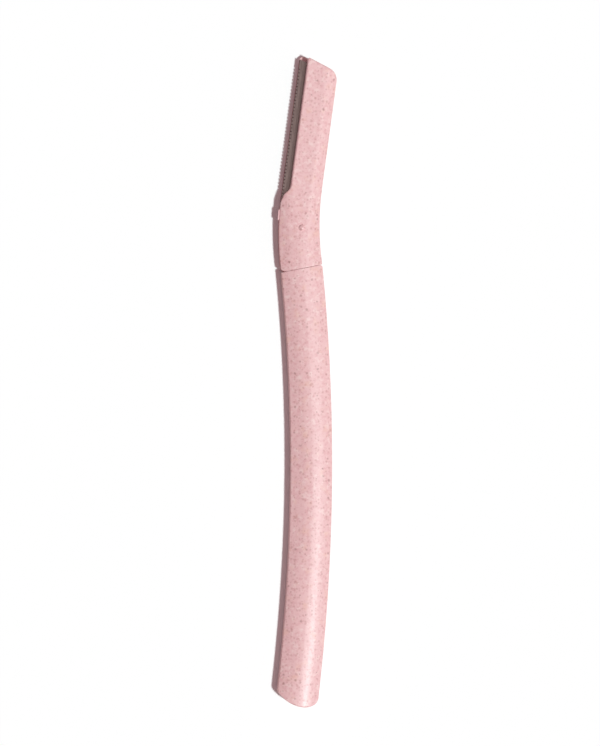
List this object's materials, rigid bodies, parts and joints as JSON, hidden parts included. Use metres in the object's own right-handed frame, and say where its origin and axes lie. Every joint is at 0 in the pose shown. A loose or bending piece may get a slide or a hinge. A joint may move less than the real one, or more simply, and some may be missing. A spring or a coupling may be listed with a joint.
{
  "type": "eyebrow razor",
  "caption": "Slim bowed eyebrow razor with a comb-guarded blade on a leaning head, covered by a slide-on cap that is open along the blade's edge.",
  "frame": {"origin": "middle of the razor's footprint in plan, on the plane of the flat land on its back", "axes": "+X across the razor towards the cap's spine, +Y from the butt towards the tip of the cap, +Z from the back towards the crowned front"},
  "size_m": [0.0138, 0.1494, 0.0041],
  "materials": {
    "straw_plastic": "moulded straw-filled polypropylene, pink with brown flecks",
    "blade_steel": "ground stainless strip",
    "guard_steel": "rolled stainless sheet"
  },
  "bodies": {
    "razor": {"handle": "straw_plastic", "blade": "blade_steel", "comb_guard": "guard_steel", "blade_keeper": "straw_plastic"},
    "cap": {"cap": "straw_plastic"}
  },
  "joints": [
    {"name": "cap_slide", "type": "slide", "parent": "razor", "child": "cap", "axis": [0.1357, 0.9907, 0], "range_m": [0, 0.052]}
  ]
}
